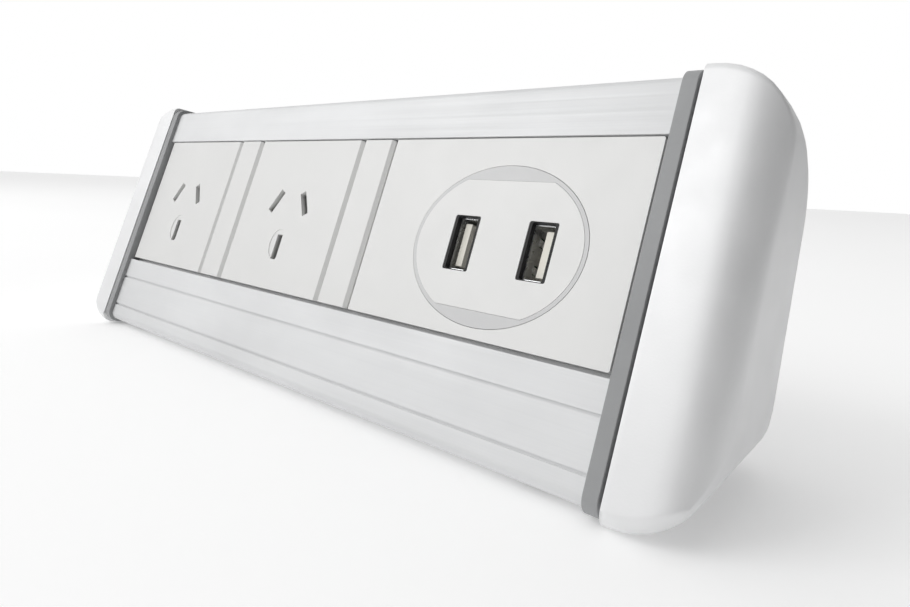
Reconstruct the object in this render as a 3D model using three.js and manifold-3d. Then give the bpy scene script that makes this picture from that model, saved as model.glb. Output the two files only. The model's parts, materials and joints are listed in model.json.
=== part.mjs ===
// Desk power strip: a leaning aluminium extrusion with two socket modules, two blank spacers and a twin USB
// plate clipped into its front channel, closed at each end by an end plate and a moulded cap.
// Millimetres, +Z up, +X to the right of the front, the front faces -Y, and the unit rests on z = 0.
import * as THREE from "three";
import { mergeVertices } from "three/addons/utils/BufferGeometryUtils.js";
import Module from "manifold-3d";

const wasm = await Module();
wasm.setup();

// ---- driving dimensions ----
const LEAN = THREE.MathUtils.degToRad(20.5); // front face, back from the vertical
const UNIT = 12.5; // module grid: sockets 4 units, spacers 1, USB plate 6
const WINDOW_LENGTH = 16 * UNIT;
const END_SPACE = 0.7; // between the last plate and the end of the extrusion
const EXTRUSION_HALF = WINDOW_LENGTH / 2 + END_SPACE;
const WINDOW_HEIGHT = 49;
const TOP_BAND = 12.5;
const LOWER_BAND = 24.8;
const FRONT_SLOPE = TOP_BAND + WINDOW_HEIGHT + LOWER_BAND;
const FOOT_HEIGHT = 2;
const Y_SHIFT = -31.753; // puts the middle of the depth on Y = 0
const WALL = 2.2;
const GAP = 0.3;

const REAR_TOP = [67, 76.4];
const REAR_BOTTOM = [52.8, 0];
const FRONT_TOP = [FRONT_SLOPE * Math.sin(LEAN), FRONT_SLOPE * Math.cos(LEAN)];
const BODY_OUTLINE = {
  corners: [[0, 0], FRONT_TOP, REAR_TOP, REAR_BOTTOM],
  radii: [2.5, 2.5, 27.8, 9],
};

const PLATE_THICK = 3.2; // end plate
const PLATE_PROUD = [-1.2, -1.2, -0.5, -1]; // how far it stands out at the front, top, rear and base
const NECK = 0.7; // length of the sunk neck between the end plate and the cap
const CAP_LENGTH = 16.9;
const CAP_OUTLINE = {
  corners: [[-1.9, -1.4], [29.7, 83], [68, 77.3], [53.6, -1.4]],
  radii: [3.2, 2.2, 28.7, 9.5],
};
const CAP_EDGE_RADII = [8, 15.6, 15.6, 15.6]; // front, top, rear and base edges of the side face
const CAP_WALL = 2.2;

const FACE_THICK = 2.6;
const FACE_BACK = -0.3 - FACE_THICK; // back of a faceplate, measured outward from the front face
const FACE_HEIGHT = WINDOW_HEIGHT - 1.4;
const FACE_RISE = 0.35; // leaves the wider gap under the plates
const EDGE_CUT = 0.9; // slope on the upright edges of a plate
const LEDGE_DEPTH = 2.5;
const HOUSING_FRONT = FACE_BACK - GAP;
const SOCKET_DEPTH = 24;

const SLOT_PITCH = 6.86; // AS/NZS 3112 hole positions
const SLOT_RISE = 3.96;
const EARTH_DROP = 10.31;
const SLOT_TILT = Math.PI / 6;
const SLOT_LENGTH = 7.8;
const SLOT_WIDTH = 2.4;
const SHUTTER_TRAVEL = 4.2;

const RING_X = 66;
const RING_V = -1.8;
const RING_LENGTH = 47;
const RING_HEIGHT = 38.3;
const RING_BAND = 1;
const RING_GAP = 0.1;
const INSERT_FLAT = 15.4; // half distance between the insert's two flats
const PORTS = [[-8.9, -1], [11.8, 1]]; // place along the unit, and the side of its middle that the tongue is on
const PORTS_V = -0.3;
const PORT_CUT = [7.4, 13.4];
const SHELL = [5.7, 12.8];
const SHELL_FRONT = -1.6;
const SHELL_BACK = -14.1;

// ---- geometry helpers ----
function toSolid(geometry) {
  const bare = geometry.clone();
  bare.deleteAttribute("normal");
  bare.deleteAttribute("uv");
  const merged = mergeVertices(bare, 1e-4);
  return new wasm.Manifold(
    new wasm.Mesh({
      numProp: 3,
      vertProperties: merged.attributes.position.array,
      triVerts: new Uint32Array(merged.index.array),
    }),
  );
}

function toGeometry(solid) {
  const mesh = solid.getMesh();
  const geometry = new THREE.BufferGeometry();
  geometry.setAttribute("position", new THREE.BufferAttribute(mesh.vertProperties, 3));
  geometry.setIndex(new THREE.BufferAttribute(mesh.triVerts, 1));
  geometry.computeVertexNormals();
  return geometry;
}

function join(first, ...others) {
  return toGeometry(others.reduce((sum, g) => sum.add(toSolid(g)), toSolid(first)));
}

function cut(first, ...others) {
  return toGeometry(others.reduce((rest, g) => rest.subtract(toSolid(g)), toSolid(first)));
}

function common(first, second) {
  return toGeometry(toSolid(first).intersect(toSolid(second)));
}

function box(x0, x1, y0, y1, z0, z1) {
  const geometry = new THREE.BoxGeometry(x1 - x0, y1 - y0, z1 - z0);
  return geometry.translate((x0 + x1) / 2, (y0 + y1) / 2, (z0 + z1) / 2);
}

function shapeOf(points) {
  return new THREE.Shape(points.map(([x, y]) => new THREE.Vector2(x, y)));
}

function prism(shape, z0, z1, curveSegments = 12) {
  const options = { depth: z1 - z0, bevelEnabled: false, curveSegments };
  return new THREE.ExtrudeGeometry(shape, options).translate(0, 0, z0);
}

// A prism drawn in the Y-Z side view and run from x0 to x1.
function sideways(shape, x0, x1) {
  const toSide = new THREE.Matrix4().set(0, 0, 1, x0, 1, 0, 0, 0, 0, 1, 0, 0, 0, 0, 0, 1);
  return prism(shape, 0, x1 - x0).applyMatrix4(toSide);
}

function rod(radius, z0, z1, x = 0, y = 0, segments = 24) {
  const geometry = new THREE.CylinderGeometry(radius, radius, z1 - z0, segments);
  return geometry.rotateX(Math.PI / 2).translate(x, y, (z0 + z1) / 2);
}

function roundedRect(width, height, radius, cx = 0, cy = 0) {
  const [x, y] = [width / 2, height / 2];
  const centres = [[x - radius, y - radius, 0], [radius - x, y - radius, 1],
    [radius - x, radius - y, 2], [x - radius, radius - y, 3]];
  const points = [];
  for (const [px, py, quarter] of centres) {
    for (let i = 0; i <= 5; i++) {
      const a = ((quarter + i / 5) * Math.PI) / 2;
      points.push([cx + px + radius * Math.cos(a), cy + py + radius * Math.sin(a)]);
    }
  }
  return shapeOf(points);
}

function ovalPoints(length, height, segments = 72) {
  return Array.from({ length: segments }, (_, i) => {
    const a = (2 * Math.PI * i) / segments;
    return [(length / 2) * Math.cos(a), (height / 2) * Math.sin(a)];
  });
}

// A side outline with rounded corners, its front, top, rear and base edges each moved inward by an inset.
function outline(insets, { corners, radii } = BODY_OUTLINE, segments = 9) {
  const count = corners.length;
  const inset = Array.isArray(insets) ? insets : Array(count).fill(insets);
  const lines = corners.map((p, i) => {
    const q = corners[(i + 1) % count];
    const length = Math.hypot(q[0] - p[0], q[1] - p[1]);
    const along = [(q[0] - p[0]) / length, (q[1] - p[1]) / length];
    return { start: [p[0] + inset[i] * along[1], p[1] - inset[i] * along[0]], along };
  });
  const points = [];
  for (let i = 0; i < count; i++) {
    const before = lines[(i + count - 1) % count];
    const after = lines[i];
    const cross = before.along[0] * after.along[1] - before.along[1] * after.along[0];
    const gap = [after.start[0] - before.start[0], after.start[1] - before.start[1]];
    const t = (gap[0] * after.along[1] - gap[1] * after.along[0]) / cross;
    const corner = [before.start[0] + t * before.along[0], before.start[1] + t * before.along[1]];
    const least = Math.min(inset[i], inset[(i + count - 1) % count]);
    const radius = Math.max(radii[i] - 1.07 * least, 0.8 + 0.25 * Math.max(least, 0));
    const turn = Math.acos(before.along[0] * after.along[0] + before.along[1] * after.along[1]);
    const setback = radius * Math.tan(turn / 2);
    const from = [corner[0] - setback * before.along[0], corner[1] - setback * before.along[1]];
    const centre = [from[0] + radius * before.along[1], from[1] - radius * before.along[0]];
    const startAngle = Math.atan2(from[1] - centre[1], from[0] - centre[0]);
    for (let k = 0; k <= segments; k++) {
      const a = startAngle - (turn * k) / segments;
      points.push([centre[0] + radius * Math.cos(a), centre[1] + radius * Math.sin(a)]);
    }
  }
  return points;
}

// A closed skin through sections that all hold the same number of points: [x, [[y, z], ...]].
function skin(sections) {
  const count = sections[0][1].length;
  const positions = sections.flatMap(([x, points]) => points.flatMap(([y, z]) => [x, y, z]));
  const triangles = [];
  for (let s = 0; s + 1 < sections.length; s++) {
    for (let i = 0; i < count; i++) {
      const a = s * count + i;
      const b = s * count + ((i + 1) % count);
      triangles.push(a, a + count, b, b, a + count, b + count);
    }
  }
  const last = (sections.length - 1) * count;
  for (let i = 1; i + 1 < count; i++) {
    triangles.push(0, i, i + 1);
    triangles.push(last, last + i + 1, last + i);
  }
  const geometry = new THREE.BufferGeometry();
  geometry.setAttribute("position", new THREE.Float32BufferAttribute(positions, 3));
  geometry.setIndex(triangles);
  return geometry;
}

// ---- scene frames ----
const group = new THREE.Group();
group.name = "desk_power_strip";

const body = new THREE.Group(); // origin on the extrusion's front bottom corner line
body.position.set(0, Y_SHIFT, FOOT_HEIGHT);
group.add(body);

// Front frame: x along the unit, y up the slope from the middle of the window, z outward.
const front = new THREE.Group();
const middle = LOWER_BAND + WINDOW_HEIGHT / 2;
front.position.set(0, middle * Math.sin(LEAN), middle * Math.cos(LEAN));
front.rotation.x = Math.PI / 2 - LEAN;
body.add(front);

function add(parent, name, geometry, colour, metalness = 0, roughness = 0.5) {
  const mesh = new THREE.Mesh(
    geometry,
    new THREE.MeshStandardMaterial({ color: colour, metalness, roughness }),
  );
  mesh.name = name;
  parent.add(mesh);
  return mesh;
}

const WHITE = 0xf2f1ed;
const SILVER = 0xd6d8da;
const GREY = 0x8f9193;
const DARK = 0x2b2c2e;
const BRASS = 0xc9a65a;
const STEEL = 0xb8bcc0;

// ---- extrusion ----
const SCREW_POINTS = [[15.5, 9], [37, 70.5], [44.5, 9.5]];
const BOSS_RADIUS = 4.2;
const BOSS_BORE = 2.1;

// A shape drawn in the front frame's cross-section, turned into the side view.
function slopeShape(points) {
  return shapeOf(points.map(([v, w]) => [
    front.position.y + v * Math.sin(LEAN) - w * Math.cos(LEAN),
    front.position.z + v * Math.cos(LEAN) + w * Math.sin(LEAN),
  ]));
}

function slopeBar(v0, v1, w0, w1, x0, x1) {
  return sideways(slopeShape([[v0, w0], [v0, w1], [v1, w1], [v1, w0]]), x0, x1);
}

function makeExtrusion() {
  const half = EXTRUSION_HALF;
  const top = WINDOW_HEIGHT / 2;
  let solid = cut(
    sideways(shapeOf(outline(0)), -half, half),
    sideways(shapeOf(outline(WALL)), -half - 1, half + 1),
    slopeBar(-top, top, -8, 4, -half - 1, half + 1),
  );
  const ledges = [top, -top].map((edge) => {
    const inner = edge - Math.sign(edge) * LEDGE_DEPTH;
    return slopeBar(Math.min(inner, edge + Math.sign(edge)), Math.max(inner, edge + Math.sign(edge)),
      HOUSING_FRONT - 1.8, HOUSING_FRONT, -half, half);
  });
  const webs = [1, -1].map((side) =>
    slopeBar(Math.min(side * top, side * (top + 1.8)), Math.max(side * top, side * (top + 1.8)),
      HOUSING_FRONT - 1.8, -1, -half, half));
  const shell = sideways(shapeOf(outline(0.2)), -half, half);
  const bosses = SCREW_POINTS.map(([y, z]) => {
    const ring = new THREE.Shape().absarc(y, z, BOSS_RADIUS, 0, 2 * Math.PI);
    return common(sideways(ring, -half, half), shell);
  });
  const bridges = [
    sideways(shapeOf([[14, 0.5], [17, 0.5], [17, 6], [14, 6]]), -half, half),
    sideways(shapeOf([[35.5, 73], [38.5, 73], [38.5, 78.9], [35.5, 78.9]]), -half, half),
    sideways(shapeOf([[43, 0.5], [46, 0.5], [46, 6], [43, 6]]), -half, half),
  ];
  solid = join(solid, ...ledges, ...webs, ...bosses, ...bridges);
  const bores = SCREW_POINTS.map(([y, z]) =>
    sideways(new THREE.Shape().absarc(y, z, BOSS_BORE, 0, 2 * Math.PI), -half - 1, half + 1));
  const grooves = [7.05, 17.9].map((below) => {
    const v = -top - below;
    return slopeBar(v - 0.35, v + 0.35, -0.5, 1, -half - 1, half + 1);
  });
  return cut(solid, ...bores, ...grooves, glandHole(), ...footRecesses());
}

// ---- cable gland through the rear wall, near the left end ----
const GLAND_X = -82;
const GLAND_Z = 24;
const REAR_LEAN = Math.atan2(REAR_TOP[0] - REAR_BOTTOM[0], REAR_TOP[1] - REAR_BOTTOM[1]);

// Places a shape whose axis is +Z so that the axis leaves the rear wall at the gland.
function atGland(geometry) {
  const y = REAR_BOTTOM[0] + GLAND_Z * Math.tan(REAR_LEAN);
  return geometry.rotateX(-Math.PI / 2 - REAR_LEAN).translate(GLAND_X, y, GLAND_Z);
}

function glandHole() {
  return atGland(rod(6.5, -6, 6));
}

function makeGland() {
  const hexagon = new THREE.CylinderGeometry(9, 9, 3, 6).rotateX(Math.PI / 2);
  const outer = join(
    hexagon.clone().translate(0, 0, 1.8),
    rod(7.2, 3.2, 5.5),
    rod(6.2, -7.5, 1),
    hexagon.clone().translate(0, 0, -WALL - GAP - 1.5),
  );
  return atGland(cut(outer, rod(4.2, -12, 12)));
}

// ---- rubber feet ----
const FOOT_PLACES = [[-88, 13], [88, 13], [-88, 38.5], [88, 38.5]];

function footRecesses() {
  return FOOT_PLACES.map(([x, y]) => rod(6.4, -1, 0.5, x, y));
}

function makeFoot([x, y]) {
  return join(rod(5.4, -FOOT_HEIGHT, 0.1, x, y), rod(6, -FOOT_HEIGHT + 0.5, 0.3, x, y));
}

// ---- end plates, caps and screws ----
function mirrored(geometry, side) {
  if (side > 0) return geometry;
  const flipped = geometry.toNonIndexed();
  flipped.scale(-1, 1, 1);
  const p = flipped.attributes.position.array;
  for (let i = 0; i < p.length; i += 9) {
    for (let k = 0; k < 3; k++) [p[i + k], p[i + 3 + k]] = [p[i + 3 + k], p[i + k]];
  }
  flipped.computeVertexNormals();
  return flipped;
}

const PLATE_START = EXTRUSION_HALF + 0.05;
const CAP_START = PLATE_START + PLATE_THICK + NECK;
const HOOK_PLACES = [[52, 42, 0], [31, 7, -Math.PI / 2]]; // y, z and the turn of the catch's direction

function atHook(geometry, [y, z, turn]) {
  return geometry.rotateX(turn).translate(0, y, z);
}

function makeEndPlate() {
  const outer = PLATE_START + PLATE_THICK;
  let plate = sideways(shapeOf(outline(PLATE_PROUD)), PLATE_START, outer);
  const holes = SCREW_POINTS.map(([y, z]) =>
    sideways(new THREE.Shape().absarc(y, z, 2.3, 0, 2 * Math.PI), PLATE_START - 1, CAP_START + 1));
  const windows = HOOK_PLACES.map((place) =>
    atHook(box(PLATE_START - 1, CAP_START + 1, -2.2, 2.2, -4.6, 4.6), place));
  plate = cut(plate, ...holes, ...windows);
  const inside = shapeOf(outline(CAP_WALL + 2));
  const neck = cut(
    sideways(shapeOf(outline(1)), outer - 0.5, CAP_START - 0.05),
    sideways(inside, outer - 1, CAP_START + 4),
  );
  const rim = cut(
    sideways(shapeOf(outline(CAP_WALL + 0.4)), outer - 0.5, CAP_START + 1.5),
    sideways(inside, outer - 1, CAP_START + 4),
  );
  return join(plate, neck, rim);
}

// The cap's skin, wall deep inside its outer face: each edge of the side face has its own round.
function capSkin(start, wall) {
  const steps = 10;
  const end = CAP_LENGTH - wall;
  const rounds = CAP_EDGE_RADII.map((radius) => radius - wall);
  const longest = Math.max(...rounds);
  const sections = [[start, outline(wall, CAP_OUTLINE)]];
  for (let k = 0; k <= steps; k++) {
    const x = end - longest + longest * Math.sin((k / steps) * (Math.PI / 2));
    const insets = rounds.map((r) => wall + r - Math.sqrt(Math.max(r * r - Math.max(x - end + r, 0) ** 2, 0)));
    sections.push([CAP_START + x, outline(insets, CAP_OUTLINE)]);
  }
  return skin(sections);
}

function makeCap() {
  const outer = capSkin(CAP_START, 0);
  const inner = capSkin(CAP_START - 1, CAP_WALL);
  const hooks = HOOK_PLACES.flatMap((place) => {
    const root = box(CAP_START + 0.5, CAP_START + CAP_LENGTH - 0.5, 0.6, 1.9, -4, 4);
    const arm = box(PLATE_START - 1.7, CAP_START + 1, 0.6, 1.9, -4, 4);
    const barb = box(PLATE_START - 1.7, PLATE_START - 0.3, 1.2, 3, -4, 4);
    return [common(atHook(root, place), outer), atHook(arm, place), atHook(barb, place)];
  });
  return join(cut(outer, inner), ...hooks);
}

function makeScrew([y, z]) {
  const headBase = PLATE_START + PLATE_THICK + 0.1;
  const toX = (geometry) => geometry.rotateY(Math.PI / 2).translate(0, y, z);
  const head = toX(rod(3.8, headBase, headBase + 2.4));
  const shank = toX(rod(1.8, PLATE_START - 12, headBase + 0.5, 0, 0, 16));
  const cross = [0, 1].map((turned) => {
    const bar = box(-2.2, 2.2, -0.45, 0.45, headBase + 1.2, headBase + 4).rotateZ((turned * Math.PI) / 2);
    return toX(bar);
  });
  return cut(join(head, shank), ...cross);
}

// ---- socket modules (front frame, centred on the module) ----
function slotShape(length, width, x, y, tilt) {
  const points = [[-width / 2, -length / 2], [width / 2, -length / 2], [width / 2, length / 2], [-width / 2, length / 2]];
  return shapeOf(points.map(([px, py]) => [
    x + px * Math.cos(tilt) - py * Math.sin(tilt),
    y + px * Math.sin(tilt) + py * Math.cos(tilt),
  ]));
}

const POLES = [
  ["active", -SLOT_PITCH, SLOT_RISE, -SLOT_TILT],
  ["neutral", SLOT_PITCH, SLOT_RISE, SLOT_TILT],
  ["earth", 0, -EARTH_DROP, 0],
];

// A plate of the window's height, the upright edges on the given sides sloped off at the front.
function makePlate(width, front, radius, sides = [-1, 1], x = 0, y = 0) {
  const slopes = sides.map((side) => {
    const edge = x + (side * width) / 2;
    const corner = shapeOf([[edge - side * EDGE_CUT, 0], [edge + side, EDGE_CUT + 1], [edge + side, -1],
      [edge, -EDGE_CUT]].map(([px, pz]) => [px, pz + front]));
    return prism(corner, -40, 40).rotateX(Math.PI / 2);
  });
  return cut(prism(roundedRect(width, FACE_HEIGHT, radius, x, y + FACE_RISE), FACE_BACK, front), ...slopes);
}

function makeSocketFace() {
  let plate = makePlate(4 * UNIT - 0.5, -0.3, 0.5);
  const slots = POLES.map(([, x, y, tilt]) => prism(slotShape(SLOT_LENGTH, SLOT_WIDTH, x, y, tilt), -8, 1));
  const pockets = POLES.map(([, x, y, tilt]) => prism(slotShape(9.4, 4.4, x, y, tilt), -8, FACE_BACK + 1.5));
  const arch = new THREE.Shape().absellipse(0, -EARTH_DROP + 0.9, 3.7, 4.7, 0, 2 * Math.PI);
  plate = cut(plate, ...slots, ...pockets, prism(arch, -0.5, 1, 14));
  const rails = [[-3.4, -2.1, -1], [9.7, 11, 1]].flatMap(([y0, y1, side]) => {
    const lip0 = side < 0 ? y0 : y0 - 1;
    const lip1 = side < 0 ? y1 + 1 : y1;
    return [box(-17, 19.5, y0, y1, FACE_BACK - 4.2, FACE_BACK + 0.2),
      box(-17, 19.5, lip0, lip1, FACE_BACK - 4.2, FACE_BACK - 3.1)];
  });
  const stops = [[-21.8, -20.6], [17.4, 18.6]].map(([x0, x1]) =>
    box(x0, x1, -2.5, 10, FACE_BACK - 4.2, FACE_BACK + 0.2));
  return join(plate, ...rails, ...stops);
}

const SHUTTER_LEFT = -12.8;
const SHUTTER_RIGHT = 17;

function makeShutter() {
  const z0 = FACE_BACK - 2.7;
  const z1 = FACE_BACK - 0.5;
  const slab = box(SHUTTER_LEFT, SHUTTER_RIGHT, -1.8, 9.4, z0, z1);
  const holes = POLES.slice(0, 2).map(([, x, y, tilt]) =>
    prism(slotShape(SLOT_LENGTH + 0.6, SLOT_WIDTH + 0.4, x + SHUTTER_TRAVEL, y, tilt), z0 - 1, z1 + 1));
  return cut(slab, ...holes);
}

// A coil along X from x0 to x1.
function coil(x0, x1, radius, wire, turns) {
  class Helix extends THREE.Curve {
    getPoint(t) {
      const a = 2 * Math.PI * turns * t;
      return new THREE.Vector3(x0 + (x1 - x0) * t, radius * Math.cos(a), radius * Math.sin(a));
    }
  }
  const ring = new THREE.Shape(
    Array.from({ length: 6 }, (_, i) =>
      new THREE.Vector2(wire * Math.cos((i * Math.PI) / 3), wire * Math.sin((i * Math.PI) / 3))),
  );
  return new THREE.ExtrudeGeometry(ring, { steps: Math.round(turns * 12), extrudePath: new Helix(), bevelEnabled: false });
}

function makeShutterSpring() {
  return coil(-20.2, SHUTTER_LEFT - 0.5, 1.5, 0.25, 4).translate(0, 3.8, FACE_BACK - 1.9);
}

function makeSocketHousing() {
  const [w, h] = [4 * UNIT - 2, WINDOW_HEIGHT - 2 * LEDGE_DEPTH - 1];
  const back = HOUSING_FRONT - SOCKET_DEPTH;
  const outer = prism(roundedRect(w, h, 1.5), back, HOUSING_FRONT);
  const inner = prism(roundedRect(w - 3.2, h - 3.2, 1), back + 1.6, HOUSING_FRONT + 1);
  const tails = POLES.map(([, x, y, tilt]) => prism(slotShape(5, 3.4, x, y, tilt), back - 1, back + 3));
  const arms = [-15, 15].flatMap((x) => [-1, 1].map((side) => {
    const y0 = side * (h / 2 - 0.4);
    const y1 = side * (WINDOW_HEIGHT / 2 - 0.8);
    return box(x - 4, x + 4, Math.min(y0, y1), Math.max(y0, y1), HOUSING_FRONT - 5, HOUSING_FRONT - 2.2);
  }));
  const pocket = POLES.map(([, x, y, tilt]) => {
    const post = prism(slotShape(8.4, 5.6, x, y, tilt), back + 1, back + 6);
    return cut(post, prism(slotShape(7, 4.2, x, y, tilt), back - 1, back + 7));
  });
  return join(cut(outer, inner, ...tails), ...arms, ...pocket);
}

// A folded leaf pair that grips the pin, with a tail out through the housing's floor.
function makeContact([, x, y, tilt]) {
  const mouth = HOUSING_FRONT - 6.2;
  const floor = HOUSING_FRONT - SOCKET_DEPTH + 2.2;
  const leaf = 0.6;
  const u = [[-1.8, mouth], [-1.8, floor], [1.8, floor], [1.8, mouth], [1.1, mouth - 1.5], [1.2, floor + leaf],
    [-1.2, floor + leaf], [-1.1, mouth - 1.5]];
  const fold = prism(shapeOf(u), -2.9, 2.9).rotateX(Math.PI / 2);
  const tail = box(-0.4, 0.4, -1.8, 1.8, floor - 5.5, floor + 0.3);
  return join(fold, tail).rotateZ(tilt).translate(x, y, 0);
}

// ---- spacers ----
function makeSpacer() {
  const plate = makePlate(UNIT - 0.4, -0.15, 0.4);
  const skirt = box(-4.5, 4.5, -21.5, 21.5, FACE_BACK - 3.6, FACE_BACK + 0.2);
  const hollow = box(-3.2, 3.2, -20, 20, FACE_BACK - 5, FACE_BACK);
  const barbs = [-1, 1].map((side) => box(-3.5, 3.5, side > 0 ? 20.8 : -23.6, side > 0 ? 23.6 : -20.8,
    FACE_BACK - 3.6, FACE_BACK - 2.5));
  return join(plate, cut(skirt, hollow), ...barbs);
}

// ---- USB module (front frame, centred on the oval) ----
const USB_CENTRE = 25 + 3 * UNIT;

function makeUsbFace() {
  const plate = makePlate(6 * UNIT - 0.5, -0.3, 0.5, [-1], USB_CENTRE - RING_X, -RING_V);
  const through = prism(shapeOf(ovalPoints(RING_LENGTH - 2 * RING_BAND - 1, RING_HEIGHT - 2 * RING_BAND - 1)), -6, 1);
  const seat = prism(shapeOf(ovalPoints(RING_LENGTH + RING_GAP, RING_HEIGHT + RING_GAP)), -1.6, 1);
  return cut(plate, through, seat);
}

// The insert's shape from z0 to z1: an oval with its top and bottom cut flat.
function insertPrism(length, height, flat, z0, z1) {
  const oval = prism(shapeOf(ovalPoints(length, height)), z0, z1);
  return common(oval, box(-length, length, -flat, flat, z0 - 1, z1 + 1));
}

function makeUsbRing() {
  const ring = prism(shapeOf(ovalPoints(RING_LENGTH - RING_GAP, RING_HEIGHT - RING_GAP)), -1.4, -0.25);
  const [l, h] = [RING_LENGTH - 2 * RING_BAND, RING_HEIGHT - 2 * RING_BAND];
  return cut(ring, insertPrism(l, h, INSERT_FLAT, -3, 1));
}

function makeUsbInsert() {
  const [l, h] = [RING_LENGTH - 2 * RING_BAND - RING_GAP, RING_HEIGHT - 2 * RING_BAND - RING_GAP];
  const disc = insertPrism(l, h, INSERT_FLAT - RING_GAP / 2, -1.5, -0.2);
  const plug = insertPrism(l - 2, h - 2, INSERT_FLAT - 1.2, -9, -1.4);
  const hollow = insertPrism(l - 5, h - 5, INSERT_FLAT - 2.8, -10, -2.4);
  const cuts = PORTS.map(([x]) => prism(roundedRect(...PORT_CUT, 0.5, x, PORTS_V), -10, 2));
  return cut(join(disc, plug), hollow, ...cuts);
}

// The black frame that fills the cut round a port's shell.
function makePortBezel([x]) {
  const [w, h] = PORT_CUT;
  const outer = prism(roundedRect(w - 0.16, h - 0.16, 0.45, x, PORTS_V), -3.4, -0.3);
  return cut(outer, prism(roundedRect(SHELL[0] + 0.14, SHELL[1] + 0.14, 0.5, x, PORTS_V), -5, 1));
}

function makePortShell([x, tongueSide]) {
  const [w, h] = SHELL;
  const wall = x - (tongueSide * w) / 2;
  const outer = prism(roundedRect(w, h, 0.6, x, PORTS_V), SHELL_BACK, SHELL_FRONT);
  const inner = prism(roundedRect(w - 0.6, h - 0.6, 0.4, x, PORTS_V), SHELL_BACK + 0.4, 1);
  const windows = [];
  const leaves = [];
  for (const y of [PORTS_V - 3.2, PORTS_V + 3.2]) {
    windows.push(box(wall - 1, wall + 1, y - 1.1, y + 1.1, -8.6, -4.6));
    const leaf = box(-0.15, 0.15, y - 0.8, y + 0.8, -3.6, 0.3).rotateY(tongueSide * 0.16);
    leaves.push(leaf.translate(wall + tongueSide * 0.15, 0, -4.6));
  }
  return join(cut(outer, inner, ...windows), ...leaves);
}

function makePortTongue([x, side]) {
  const back = SHELL_BACK + 0.6;
  const middle = x + side * 0.85;
  const blade = box(middle - 0.9, middle + 0.9, PORTS_V - 5.2, PORTS_V + 5.2, back, -2.4);
  const root = box(x - 2.3, x + 2.3, PORTS_V - 5.9, PORTS_V + 5.9, back, back + 2.6);
  const face = middle - side * 0.9;
  const grooves = [-3.5, -1, 1, 3.5].map((y) =>
    box(face - 0.12, face + 0.12, PORTS_V + y - 0.5, PORTS_V + y + 0.5, back + 4, -3.2));
  return cut(join(blade, root), ...grooves);
}

const BOARD_FRONT = SHELL_BACK - 0.3;

function makeUsbBoard() {
  return box(-23, 20, -16, 16, BOARD_FRONT - 1.6, BOARD_FRONT);
}

function makeUsbHousing() {
  const dx = USB_CENTRE - RING_X;
  const [w, h] = [6 * UNIT - 4, WINDOW_HEIGHT - 2 * LEDGE_DEPTH - 1];
  const back = HOUSING_FRONT - 26;
  const outer = prism(roundedRect(w, h, 1.5, dx, -RING_V), back, HOUSING_FRONT);
  const inner = prism(roundedRect(w - 3.2, h - 3.2, 1, dx, -RING_V), back + 1.6, HOUSING_FRONT + 1);
  const arms = [-22, 18].flatMap((x) => [-1, 1].map((side) => {
    const y0 = side * (h / 2 - 0.4) - RING_V;
    const y1 = side * (WINDOW_HEIGHT / 2 - 0.8) - RING_V;
    return box(x - 4, x + 4, Math.min(y0, y1), Math.max(y0, y1), HOUSING_FRONT - 5, HOUSING_FRONT - 2.2);
  }));
  const shelves = [-1, 1].map((side) => {
    const x = dx + side * (w / 2 - 6);
    return box(x - 4.8, x + 4.8, -17 - RING_V, 17 - RING_V, back + 1, BOARD_FRONT - 1.9);
  });
  const wireHole = rod(2.2, back - 1, back + 3, dx - w / 2 + 16, -RING_V);
  return cut(join(cut(outer, inner), ...arms, ...shelves), wireHole);
}

// ---- wiring ----
const TERMINALS_X = [-92, -84, -76];
const BLOCK_TOP = 11.5;

function makeTerminalBlock() {
  const block = box(-96, -72, 24, 35, WALL + GAP, BLOCK_TOP);
  const ports = TERMINALS_X.flatMap((x) => [
    rod(2, 6.5, 20, x, 29.5),
    new THREE.CylinderGeometry(1.8, 1.8, 30, 20).translate(x, 31, 6.6),
  ]);
  return cut(block, ...ports);
}

function makeTerminalScrew(x) {
  const slot = box(x - 2, x + 2, 29.2, 29.8, BLOCK_TOP - 1.3, BLOCK_TOP + 1);
  return cut(rod(1.7, BLOCK_TOP - 3, BLOCK_TOP - 0.4, x, 29.5), slot);
}

function makeWire(points, radius = 1.35) {
  const path = new THREE.CatmullRomCurve3(points.map((p) => new THREE.Vector3(...p)), false, "centripetal");
  const ring = new THREE.Shape().absarc(0, 0, radius, 0, 2 * Math.PI);
  return new THREE.ExtrudeGeometry(ring, { steps: 36, curveSegments: 5, extrudePath: path, bevelEnabled: false });
}

// ---- assembly ----
add(body, "body_extrusion", makeExtrusion(), SILVER, 0.7, 0.35);
add(body, "cable_gland", makeGland(), DARK, 0, 0.6);
FOOT_PLACES.forEach((place, i) => add(body, "foot_" + (i + 1), makeFoot(place), DARK, 0, 0.9));

for (const [side, label] of [[-1, "left"], [1, "right"]]) {
  add(body, label + "_end_plate", mirrored(makeEndPlate(), side), GREY, 0, 0.6);
  add(body, label + "_end_cap", mirrored(makeCap(), side), SILVER, 0.1, 0.45);
  SCREW_POINTS.forEach((point, i) =>
    add(body, label + "_screw_" + (i + 1), mirrored(makeScrew(point), side), STEEL, 0.9, 0.35));
}

[-75, -12.5].forEach((x, i) => {
  const socket = new THREE.Group();
  socket.position.x = x;
  front.add(socket);
  const prefix = "socket_" + (i + 1) + "_";
  add(socket, prefix + "faceplate", makeSocketFace(), WHITE);
  add(socket, prefix + "housing", makeSocketHousing(), WHITE);
  add(socket, prefix + "shutter", makeShutter(), WHITE);
  add(socket, prefix + "shutter_spring", makeShutterSpring(), STEEL, 0.9, 0.3);
  POLES.forEach((pole) => add(socket, prefix + pole[0] + "_contact", makeContact(pole), BRASS, 0.9, 0.35));
});

[-43.75, 18.75].forEach((x, i) => {
  add(front, "spacer_" + (i + 1), makeSpacer().translate(x, 0, 0), WHITE);
});

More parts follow.
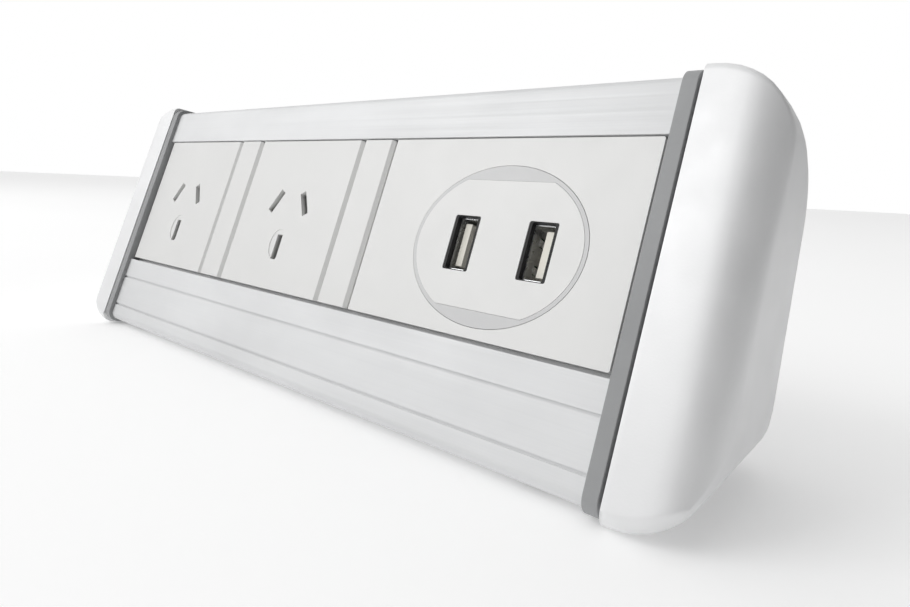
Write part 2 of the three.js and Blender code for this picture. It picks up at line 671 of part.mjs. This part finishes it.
const usb = new THREE.Group();
usb.position.set(RING_X, RING_V, 0);
front.add(usb);
add(usb, "usb_faceplate", makeUsbFace(), WHITE);
add(usb, "usb_ring", makeUsbRing(), 0xd2d3d4);
add(usb, "usb_insert", makeUsbInsert(), WHITE);
add(usb, "usb_housing", makeUsbHousing(), WHITE);
add(usb, "usb_board", makeUsbBoard(), 0x2f6b45, 0, 0.5);
PORTS.forEach((port, i) => {
  const prefix = "usb_port_" + (i + 1) + "_";
  add(usb, prefix + "bezel", makePortBezel(port), DARK, 0, 0.4);
  add(usb, prefix + "shell", makePortShell(port), STEEL, 0.9, 0.25);
  add(usb, prefix + "tongue", makePortTongue(port), 0xf0ead8);
});
add(usb, "usb_transformer", box(-12, 2, -7, 7, BOARD_FRONT - 12.4, BOARD_FRONT - 1.9), 0xd8b53a);
add(usb, "usb_capacitor", rod(4, BOARD_FRONT - 12, BOARD_FRONT - 1.9, 8.5, 3), 0x33415c);

add(body, "terminal_block", makeTerminalBlock(), 0xe8e4d4);
TERMINALS_X.forEach((x, i) =>
  add(body, "terminal_screw_" + (i + 1), makeTerminalScrew(x), STEEL, 0.9, 0.35));
const RUNS = [["neutral", 50.5, 44.5, 0x3a6ea8], ["active", 46.5, 33.5, 0x8a4b2a], ["earth", 44.4, 24.5, 0x4d8a3c]];
RUNS.forEach(([pole, y, z, colour], i) => {
  const x = TERMINALS_X[i];
  const rise = [[x, 31, 6.6], [x, 36, 6.8], [x + 0.6, 37.9, 9.8], [x + 1.6, 38.6, 14.5], [x + 4, 41, 19.5]];
  rise.push([x + 10, Math.min(y, 45.5), 24], [x + 22, y, z - 2]);
  add(body, "wire_" + pole, makeWire([...rise, [-30, y, z], [20, y, z], [80, y, z]]), colour, 0, 0.5);
});

export default group;
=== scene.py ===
import json
import math

import bmesh
import bpy
from mathutils import Euler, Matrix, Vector


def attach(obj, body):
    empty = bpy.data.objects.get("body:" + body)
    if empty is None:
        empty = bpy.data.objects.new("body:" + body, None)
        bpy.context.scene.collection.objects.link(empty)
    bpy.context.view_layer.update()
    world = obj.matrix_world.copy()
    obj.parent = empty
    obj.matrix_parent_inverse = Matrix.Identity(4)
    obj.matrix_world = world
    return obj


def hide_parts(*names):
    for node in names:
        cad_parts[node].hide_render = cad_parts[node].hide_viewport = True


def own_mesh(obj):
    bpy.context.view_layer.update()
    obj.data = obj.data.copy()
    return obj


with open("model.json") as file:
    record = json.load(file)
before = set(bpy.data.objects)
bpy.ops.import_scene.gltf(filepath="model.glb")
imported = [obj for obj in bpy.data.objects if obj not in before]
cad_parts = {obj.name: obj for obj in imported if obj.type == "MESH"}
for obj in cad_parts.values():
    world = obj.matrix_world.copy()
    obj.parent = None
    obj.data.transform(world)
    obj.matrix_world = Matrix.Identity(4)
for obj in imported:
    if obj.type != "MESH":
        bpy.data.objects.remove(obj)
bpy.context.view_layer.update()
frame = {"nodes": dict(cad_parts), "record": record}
NODES = frame["nodes"]
BEHAVIOUR = frame["record"]["behaviour"]
BODY_OF = {node: body for body, members in BEHAVIOUR["bodies"].items() for node in members}

bl_info = {
    "name": "Desk Power Strip",
    "version": (1, 0, 0),
    "blender": (4, 5, 0),
    "location": "3D View > Sidebar > Power Strip",
    "description": "A leaning desk power strip with two sockets, blank spacers and a twin USB plate",
    "category": "Object",
}

MM = 0.001
SIDES = ("left", "right")
SOCKETS = ("socket_1", "socket_2")
PORTS = ("usb_port_1", "usb_port_2")
POLES = ("active", "neutral", "earth")

MERGE_MM = 0.004  # points of a CAD node that are closer than this are one
FLAT_ANGLE = math.radians(0.6)  # faces that meet at less than this are one flat
EDGE_ANGLE = math.radians(32)  # edges sharper than this are rounded, or shaded as edges

CAMERA_PLACE = (0.14705, -0.126855, 0.05929)
CAMERA_TURN = (81.242, -2.676, 39.66)  # degrees about X, Y and Z
CAMERA_SHIFT = -0.0258
SENSOR_MM = 36.0
CLIP = (0.005, 50.0)

FLOOR_RADIUS = 6.0
FLOOR_GLOW = 0.2  # keeps the floor as pale as the studio behind it
KEY_PLACE = (-1.1, -1.25, 1.15)
KEY_AIM = (0, 0, 0.04)
KEY_SIZE = 1.2


# ---------------------------------------------------------------- finishes

NOISE_MIDDLE = (0.3, 0.7)  # where most of a noise's values lie


def mapped(tree, source, span, to):
    """A node that maps one span of numbers to another."""
    node = tree.nodes.new("ShaderNodeMapRange")
    names = ("From Min", "From Max", "To Min", "To Max")
    for name, value in zip(names, (*span, *to)):
        node.inputs[name].default_value = value
    tree.links.new(source, node.inputs["Value"])
    return node.outputs["Result"]


class Finish:
    """One procedural material, and the short calls that add its nodes."""

    def __init__(self, name, colour, roughness, metallic=0.0, specular=0.5):
        self.material = bpy.data.materials.new(name)
        self.material.use_nodes = True
        self.tree = self.material.node_tree
        self.shader = self.tree.nodes["Principled BSDF"]
        self.shader.inputs["Base Color"].default_value = (*colour, 1)
        self.shader.inputs["Roughness"].default_value = roughness
        self.shader.inputs["Metallic"].default_value = metallic
        self.shader.inputs["Specular IOR Level"].default_value = specular
        self.colour = colour
        self.roughness = roughness
        self.coords = self.tree.nodes.new("ShaderNodeTexCoord").outputs["Object"]
        self.normal = None

    def link(self, source, target):
        self.tree.links.new(source, target)

    def noise(self, per_metre, detail=2.0, rough=0.5):
        """Noise whose cells number per_metre along each axis."""
        place = self.tree.nodes.new("ShaderNodeMapping")
        place.inputs["Scale"].default_value = per_metre
        self.link(self.coords, place.inputs["Vector"])
        noise = self.tree.nodes.new("ShaderNodeTexNoise")
        noise.inputs["Scale"].default_value = 1.0
        noise.inputs["Detail"].default_value = detail
        noise.inputs["Roughness"].default_value = rough
        self.link(place.outputs["Vector"], noise.inputs["Vector"])
        return noise.outputs["Fac"]

    def spread(self, source, low, high):
        """Maps the middle of a noise between two numbers."""
        return mapped(self.tree, source, NOISE_MIDDLE, (low, high))

    def tint(self, source, amount):
        """Base colour that wanders by a share of itself."""
        ramp = self.tree.nodes.new("ShaderNodeValToRGB")
        shares = (1 - amount, 1 + amount)
        for element, place, share in zip(ramp.color_ramp.elements, NOISE_MIDDLE, shares):
            element.position = place
            element.color = (*(min(c * share, 1) for c in self.colour), 1)
        self.link(source, ramp.inputs["Fac"])
        self.link(ramp.outputs["Color"], self.shader.inputs["Base Color"])

    def polish(self, source, swing):
        """Roughness that wanders either side of its own value."""
        low, high = self.roughness - swing, self.roughness + swing
        self.link(self.spread(source, low, high), self.shader.inputs["Roughness"])

    def bumps(self, source, depth_mm, strength=1.0):
        """Relief on top of any that the finish has already."""
        bump = self.tree.nodes.new("ShaderNodeBump")
        bump.inputs["Distance"].default_value = depth_mm * MM
        bump.inputs["Strength"].default_value = strength
        self.link(source, bump.inputs["Height"])
        if self.normal:
            self.link(self.normal, bump.inputs["Normal"])
        self.normal = bump.outputs["Normal"]
        self.link(self.normal, self.shader.inputs["Normal"])


def moulded(name, colour, roughness, grain, depth_mm, wander=0.02, specular=0.5):
    """Moulded plastic: a fine eroded grain, slight flow marks and a little unevenness of gloss."""
    finish = Finish(name, colour, roughness, specular=specular)
    finish.tint(finish.noise((55, 70, 60), 3), wander)
    finish.polish(finish.noise((160, 120, 140), 4), 0.05)
    finish.bumps(finish.noise((grain, grain, grain), 2), depth_mm)
    finish.bumps(finish.noise((90, 90, 90), 1), 0.02, 0.5)
    return finish.material


def drawn_metal(name, colour, roughness, along, across, depth_mm=0.006, metallic=1.0):
    """Drawn or rolled metal: fine lines along X, with patches of duller surface."""
    finish = Finish(name, colour, roughness, metallic=metallic)
    lines = finish.noise((along, across, across), 3, 0.6)
    finish.tint(finish.noise((30, 60, 60), 3), 0.04)
    finish.polish(lines, 0.06)
    finish.bumps(lines, depth_mm)
    finish.bumps(finish.noise((1800, 2200, 2200), 2), depth_mm * 0.6)
    return finish.material


# Tones that a satin surface shows under the studio light, where they differ from the record's colour.
SATIN_ALUMINIUM = (0.74, 0.745, 0.75)
SILVER_CAP = (0.86, 0.863, 0.868)
WHITE_FACE = (0.81, 0.81, 0.8)
PALE_RING = (0.63, 0.632, 0.634)
DEEP_BLACK = (0.016, 0.016, 0.017)

# Moulded finishes: slot, name, colour or None for the record's, roughness, grain, its depth and the wander.
MOULDINGS = (
    ("cap_plastic", "silver_cap_moulding", SILVER_CAP, 0.45, 2200, 0.016, 0.02),
    ("grey_plastic", "grey_end_plate_moulding", None, 0.55, 1800, 0.03, 0.05),
    ("white_plastic", "white_face_moulding", WHITE_FACE, 0.38, 3000, 0.006, 0.012),
    ("ring_plastic", "ring_moulding", PALE_RING, 0.35, 3000, 0.006, 0.012),
    ("cream_plastic", "cream_tongue_moulding", None, 0.5, 2400, 0.01, 0.02),
    ("foot_rubber", "foot_rubber", None, 0.85, 1400, 0.05, 0.15),
    ("board", "board_solder_mask", None, 0.35, 1500, 0.03, 0.12),
    ("transformer_wrap", "transformer_tape", None, 0.4, 700, 0.04, 0.06),
    ("capacitor_sleeve", "capacitor_sleeve", None, 0.3, 900, 0.02, 0.08),
    ("brown_insulation", "brown_wire_insulation", None, 0.45, 1500, 0.01, 0.06),
    ("blue_insulation", "blue_wire_insulation", None, 0.45, 1500, 0.01, 0.06),
    ("green_insulation", "green_wire_insulation", None, 0.45, 1500, 0.01, 0.06),
)


def make_finishes():
    """One finish for each material slot of the record."""
    slots = {m["slot"]: tuple(m["base_color"]) for m in frame["record"]["materials"]}
    made = {
        "silver_aluminium": drawn_metal("satin_anodised_aluminium", SATIN_ALUMINIUM, 0.62, 12, 2400,
                                        depth_mm=0.003, metallic=0.45),
        "zinc_steel": drawn_metal("bright_zinc_steel", slots["zinc_steel"], 0.3, 500, 900),
        "contact_brass": drawn_metal("contact_brass", slots["contact_brass"], 0.3, 700, 1100),
        "black_plastic": moulded("black_moulding", DEEP_BLACK, 0.5, 2000, 0.02, 0.1, specular=0.3),
    }
    for slot, name, colour, roughness, grain, depth_mm, wander in MOULDINGS:
        made[slot] = moulded(name, colour or slots[slot], roughness, grain, depth_mm, wander)
    return made


# ---------------------------------------------------------------- shaping

FINISHES = {}  # one for each material slot, filled in by main()


def merged_copy(node, whole_flats):
    """The CAD node's shape with its loose triangles merged and, where asked, its flats made whole."""
    bm = bmesh.new()
    bm.from_mesh(NODES[node].data)
    bmesh.ops.remove_doubles(bm, verts=bm.verts, dist=MERGE_MM * MM)
    if whole_flats:
        bmesh.ops.dissolve_limit(bm, angle_limit=FLAT_ANGLE, verts=bm.verts, edges=bm.edges)
    return bm


def round_edges(bm, width, segments):
    edges = [e for e in bm.edges if len(e.link_faces) == 2 and e.calc_face_angle() > EDGE_ANGLE]
    bmesh.ops.bevel(bm, geom=edges, offset=width, offset_type="OFFSET", affect="EDGES",
                    segments=segments, profile=0.5, clamp_overlap=True, material=-1)


def finish_piece(bm, name, slot, node):
    """Makes the object with its finish, on the body of the CAD node that it stands for."""
    mesh = bpy.data.meshes.new(name)
    bm.to_mesh(mesh)
    bm.free()
    mesh.shade_smooth()
    mesh.set_sharp_from_angle(angle=EDGE_ANGLE)
    piece = bpy.data.objects.new(name, mesh)
    bpy.context.scene.collection.objects.link(piece)
    piece.data.materials.append(FINISHES[slot])
    weighted = piece.modifiers.new("even_shading", "WEIGHTED_NORMAL")
    weighted.keep_sharp = True
    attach(piece, BODY_OF[node])
    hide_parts(node)
    return piece


def detailed(node, name, slot, edge_mm, segments=3):
    """A finished piece that stands for one CAD node, its edges rounded as the real part's are."""
    bm = merged_copy(node, edge_mm > 0)
    if edge_mm:
        round_edges(bm, edge_mm * MM, segments)
    return finish_piece(bm, name, slot, node)


def return_spring(node):
    """A shutter's spring, finished in zinc steel on a mesh of its own; the real spring closes up towards its
    fixed end as the shutter slides.
    """
    piece = detailed(node, node.replace("shutter", "return"), "zinc_steel", 0)
    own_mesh(piece)


def carry_over(slot, *nodes):
    """CAD nodes that stay as they are get their finish."""
    for node in nodes:
        NODES[node].data.materials.clear()
        NODES[node].data.materials.append(FINISHES[slot])


# ---------------------------------------------------------------- settings

def edge_setting(what, default, largest=1.0):
    """A round in millimetres that the user may change."""
    return bpy.props.FloatProperty(name=what[0].upper() + what[1:] + " edge",
                                   description=f"Round on the edges of the {what}, in millimetres",
                                   default=default, min=0.0, max=largest)


class ExtrusionSettings(bpy.types.PropertyGroup):
    edge: edge_setting("extrusion", 0.15)


class EndSettings(bpy.types.PropertyGroup):
    plate_edge: edge_setting("end plates", 0.45)
    cap_sheen: bpy.props.FloatProperty(name="Cap sheen", description="Share of metallic sheen in the caps",
                                       default=0.3, min=0.0, max=1.0, subtype="FACTOR")


class SocketSettings(bpy.types.PropertyGroup):
    edge: edge_setting("socket faces and spacers", 0.3)


class UsbSettings(bpy.types.PropertyGroup):
    plate_edge: edge_setting("USB plate", 0.1)
    ring_edge: edge_setting("oval ring", 0.04)
    insert_edge: edge_setting("oval insert", 0.05)
    port_edge: edge_setting("port frames and tongues", 0.08, 0.5)
    shell_edge: edge_setting("port shells", 0.06, 0.5)


class FittingSettings(bpy.types.PropertyGroup):
    edge: edge_setting("gland and feet", 0.3)


class StageSettings(bpy.types.PropertyGroup):
    lens: bpy.props.FloatProperty(name="Lens", description="Focal length of the camera, in millimetres",
                                  default=24.37, min=10.0, max=200.0)
    key: bpy.props.FloatProperty(name="Key light", description="Power of the main light, in watts",
                                 default=11.5, min=0.0)
    shade: bpy.props.FloatProperty(name="Right side", description="Strength of the studio on the right",
                                   default=0.15, min=0.0, max=1.0, subtype="FACTOR")
    dusk: bpy.props.FloatProperty(name="Low front", description="How much darker the studio is low in front",
                                  default=0.55, min=0.0, max=1.0, subtype="FACTOR")


# ---------------------------------------------------------------- operators

class STRIP_OT_extrusion(bpy.types.Operator):
    """Finishes the long aluminium body"""
    bl_idname = "strip.extrusion"
    bl_label = "Extrusion"

    def execute(self, context):
        edge = context.scene.strip_extrusion.edge
        detailed("body_extrusion", "extrusion", "silver_aluminium", edge, 2)
        return {"FINISHED"}


class STRIP_OT_end_plates(bpy.types.Operator):
    """Finishes the grey plates that close the extrusion, and their screws"""
    bl_idname = "strip.end_plates"
    bl_label = "End plates"

    def execute(self, context):
        edge = context.scene.strip_ends.plate_edge
        for side in SIDES:
            detailed(side + "_end_plate", side + "_plate", "grey_plastic", edge)
            carry_over("zinc_steel", *(f"{side}_screw_{i}" for i in (1, 2, 3)))
        return {"FINISHED"}


class STRIP_OT_end_caps(bpy.types.Operator):
    """Finishes the moulded caps over the end plates"""
    bl_idname = "strip.end_caps"
    bl_label = "End caps"

    def execute(self, context):
        shader = FINISHES["cap_plastic"].node_tree.nodes["Principled BSDF"]
        shader.inputs["Metallic"].default_value = context.scene.strip_ends.cap_sheen
        for side in SIDES:
            detailed(side + "_end_cap", side + "_cap", "cap_plastic", 0)
        return {"FINISHED"}


class STRIP_OT_sockets(bpy.types.Operator):
    """Finishes the two socket modules with their shutters, springs and contacts, and the blank spacers"""
    bl_idname = "strip.sockets"
    bl_label = "Socket modules"

    def execute(self, context):
        edge = context.scene.strip_sockets.edge
        for socket in SOCKETS:
            detailed(socket + "_faceplate", socket + "_face", "white_plastic", edge)
            carry_over("white_plastic", socket + "_housing", socket + "_shutter")
            carry_over("contact_brass", *(f"{socket}_{pole}_contact" for pole in POLES))
        for number in (1, 2):
            detailed(f"spacer_{number}", f"blank_spacer_{number}", "white_plastic", edge)
        for joint in BEHAVIOUR["joints"]:
            for spring in joint["deforming_nodes"]:
                return_spring(spring["node"])
        return {"FINISHED"}


class STRIP_OT_usb(bpy.types.Operator):
    """Finishes the twin USB plate and what is behind it"""
    bl_idname = "strip.usb"
    bl_label = "USB plate"

    def execute(self, context):
        edges = context.scene.strip_usb
        detailed("usb_faceplate", "usb_face", "white_plastic", edges.plate_edge, 2)
        detailed("usb_ring", "usb_oval_ring", "ring_plastic", edges.ring_edge, 2)
        detailed("usb_insert", "usb_oval_insert", "white_plastic", edges.insert_edge, 2)
        for port in PORTS:
            detailed(port + "_bezel", port + "_black_frame", "black_plastic", edges.port_edge, 2)
            detailed(port + "_shell", port + "_steel_shell", "zinc_steel", edges.shell_edge, 2)
            detailed(port + "_tongue", port + "_cream_tongue", "cream_plastic", edges.port_edge, 2)
        carry_over("white_plastic", "usb_housing")
        carry_over("board", "usb_board")
        carry_over("transformer_wrap", "usb_transformer")
        carry_over("capacitor_sleeve", "usb_capacitor")
        return {"FINISHED"}


class STRIP_OT_fittings(bpy.types.Operator):
    """Finishes the gland, the feet, the terminals and the wires"""
    bl_idname = "strip.fittings"
    bl_label = "Fittings and wiring"

    def execute(self, context):
        edge = context.scene.strip_fittings.edge
        detailed("cable_gland", "gland", "black_plastic", edge)
        for number in (1, 2, 3, 4):
            detailed(f"foot_{number}", f"rubber_foot_{number}", "foot_rubber", edge)
        carry_over("cream_plastic", "terminal_block")
        carry_over("zinc_steel", *(f"terminal_screw_{i}" for i in (1, 2, 3)))
        carry_over("blue_insulation", "wire_neutral")
        carry_over("brown_insulation", "wire_active")
        carry_over("green_insulation", "wire_earth")
        return {"FINISHED"}


class STRIP_OT_stage(bpy.types.Operator):
    """Makes the floor, the light, the studio and the camera"""
    bl_idname = "strip.stage"
    bl_label = "Stage"

    def execute(self, context):
        settings = context.scene.strip_stage
        add_floor(context.scene)
        add_camera(context.scene, settings.lens)
        add_key_light(context.scene, settings.key)
        add_studio(context.scene, settings.shade, settings.dusk)
        context.scene.view_settings.view_transform = "Standard"
        return {"FINISHED"}


# ---------------------------------------------------------------- stage

def add_floor(scene):
    bm = bmesh.new()
    bmesh.ops.create_circle(bm, cap_ends=True, segments=64, radius=FLOOR_RADIUS)
    mesh = bpy.data.meshes.new("floor")
    bm.to_mesh(mesh)
    bm.free()
    floor = bpy.data.objects.new("floor", mesh)
    scene.collection.objects.link(floor)
    paper = Finish("pale_floor", (0.95, 0.95, 0.95), 0.8, specular=0.1)
    paper.shader.inputs["Emission Color"].default_value = (1, 1, 1, 1)
    paper.shader.inputs["Emission Strength"].default_value = FLOOR_GLOW
    paper.tint(paper.noise((3, 3, 3), 2), 0.01)
    floor.data.materials.append(paper.material)


def add_camera(scene, lens):
    data = bpy.data.cameras.new("camera")
    data.lens = lens
    data.sensor_width = SENSOR_MM
    data.shift_y = CAMERA_SHIFT
    data.clip_start, data.clip_end = CLIP
    camera = bpy.data.objects.new("camera", data)
    camera.location = CAMERA_PLACE
    camera.rotation_euler = Euler([math.radians(a) for a in CAMERA_TURN])
    scene.collection.objects.link(camera)
    scene.camera = camera


def add_key_light(scene, power):
    data = bpy.data.lights.new("key", "AREA")
    data.size = KEY_SIZE
    data.energy = power
    light = bpy.data.objects.new("key", data)
    light.location = KEY_PLACE
    light.rotation_euler = (Vector(KEY_AIM) - Vector(KEY_PLACE)).to_track_quat("-Z", "Y").to_euler()
    scene.collection.objects.link(light)


def add_studio(scene, shade, dusk):
    """A white studio all round that falls off to the right, and low down in front."""
    world = bpy.data.worlds.new("studio")
    scene.world = world
    world.use_nodes = True
    tree = world.node_tree
    coords = tree.nodes.new("ShaderNodeTexCoord")
    split = tree.nodes.new("ShaderNodeSeparateXYZ")
    tree.links.new(coords.outputs["Generated"], split.inputs["Vector"])

    def combined(operation, first, second):
        node = tree.nodes.new("ShaderNodeMath")
        node.operation = operation
        tree.links.new(first, node.inputs[0])
        tree.links.new(second, node.inputs[1])
        return node.outputs["Value"]

    right = mapped(tree, split.outputs["X"], (-0.04, 0.4), (1.0, shade))
    low = mapped(tree, split.outputs["Z"], (0.1, 0.6), (1 - dusk, 1.0))
    behind = mapped(tree, split.outputs["Y"], (-0.7, -0.1), (0.0, 1.0))
    level = combined("MULTIPLY", right, combined("MAXIMUM", low, behind))
    background = tree.nodes["Background"]
    tree.links.new(level, background.inputs["Strength"])
    background.inputs["Color"].default_value = (1, 1, 1, 1)


# ---------------------------------------------------------------- panel and registration

class STRIP_PT_panel(bpy.types.Panel):
    """Lists the build steps and their settings"""
    bl_label = "Desk Power Strip"
    bl_space_type = "VIEW_3D"
    bl_region_type = "UI"
    bl_category = "Power Strip"

    def draw(self, context):
        scene = context.scene
        for group in SETTINGS:
            settings = getattr(scene, group)
            box = self.layout.box()
            for name in settings.bl_rna.properties.keys():
                if name not in ("rna_type", "name"):
                    box.prop(settings, name)
        for operator in OPERATORS:
            self.layout.operator(operator.bl_idname)


SETTINGS = {
    "strip_extrusion": ExtrusionSettings,
    "strip_ends": EndSettings,
    "strip_sockets": SocketSettings,
    "strip_usb": UsbSettings,
    "strip_fittings": FittingSettings,
    "strip_stage": StageSettings,
}
OPERATORS = (STRIP_OT_extrusion, STRIP_OT_end_plates, STRIP_OT_end_caps, STRIP_OT_sockets, STRIP_OT_usb,
             STRIP_OT_fittings, STRIP_OT_stage)


def register():
    for cls in (*SETTINGS.values(), *OPERATORS, STRIP_PT_panel):
        bpy.utils.register_class(cls)
    for name, cls in SETTINGS.items():
        setattr(bpy.types.Scene, name, bpy.props.PointerProperty(type=cls))


def unregister():
    for name in SETTINGS:
        delattr(bpy.types.Scene, name)
    for cls in reversed((*SETTINGS.values(), *OPERATORS, STRIP_PT_panel)):
        bpy.utils.unregister_class(cls)


def main():
    register()
    FINISHES.update(make_finishes())
    for operator in OPERATORS:
        group, name = operator.bl_idname.split(".")
        getattr(getattr(bpy.ops, group), name)()


if __name__ == "__main__":
    main()
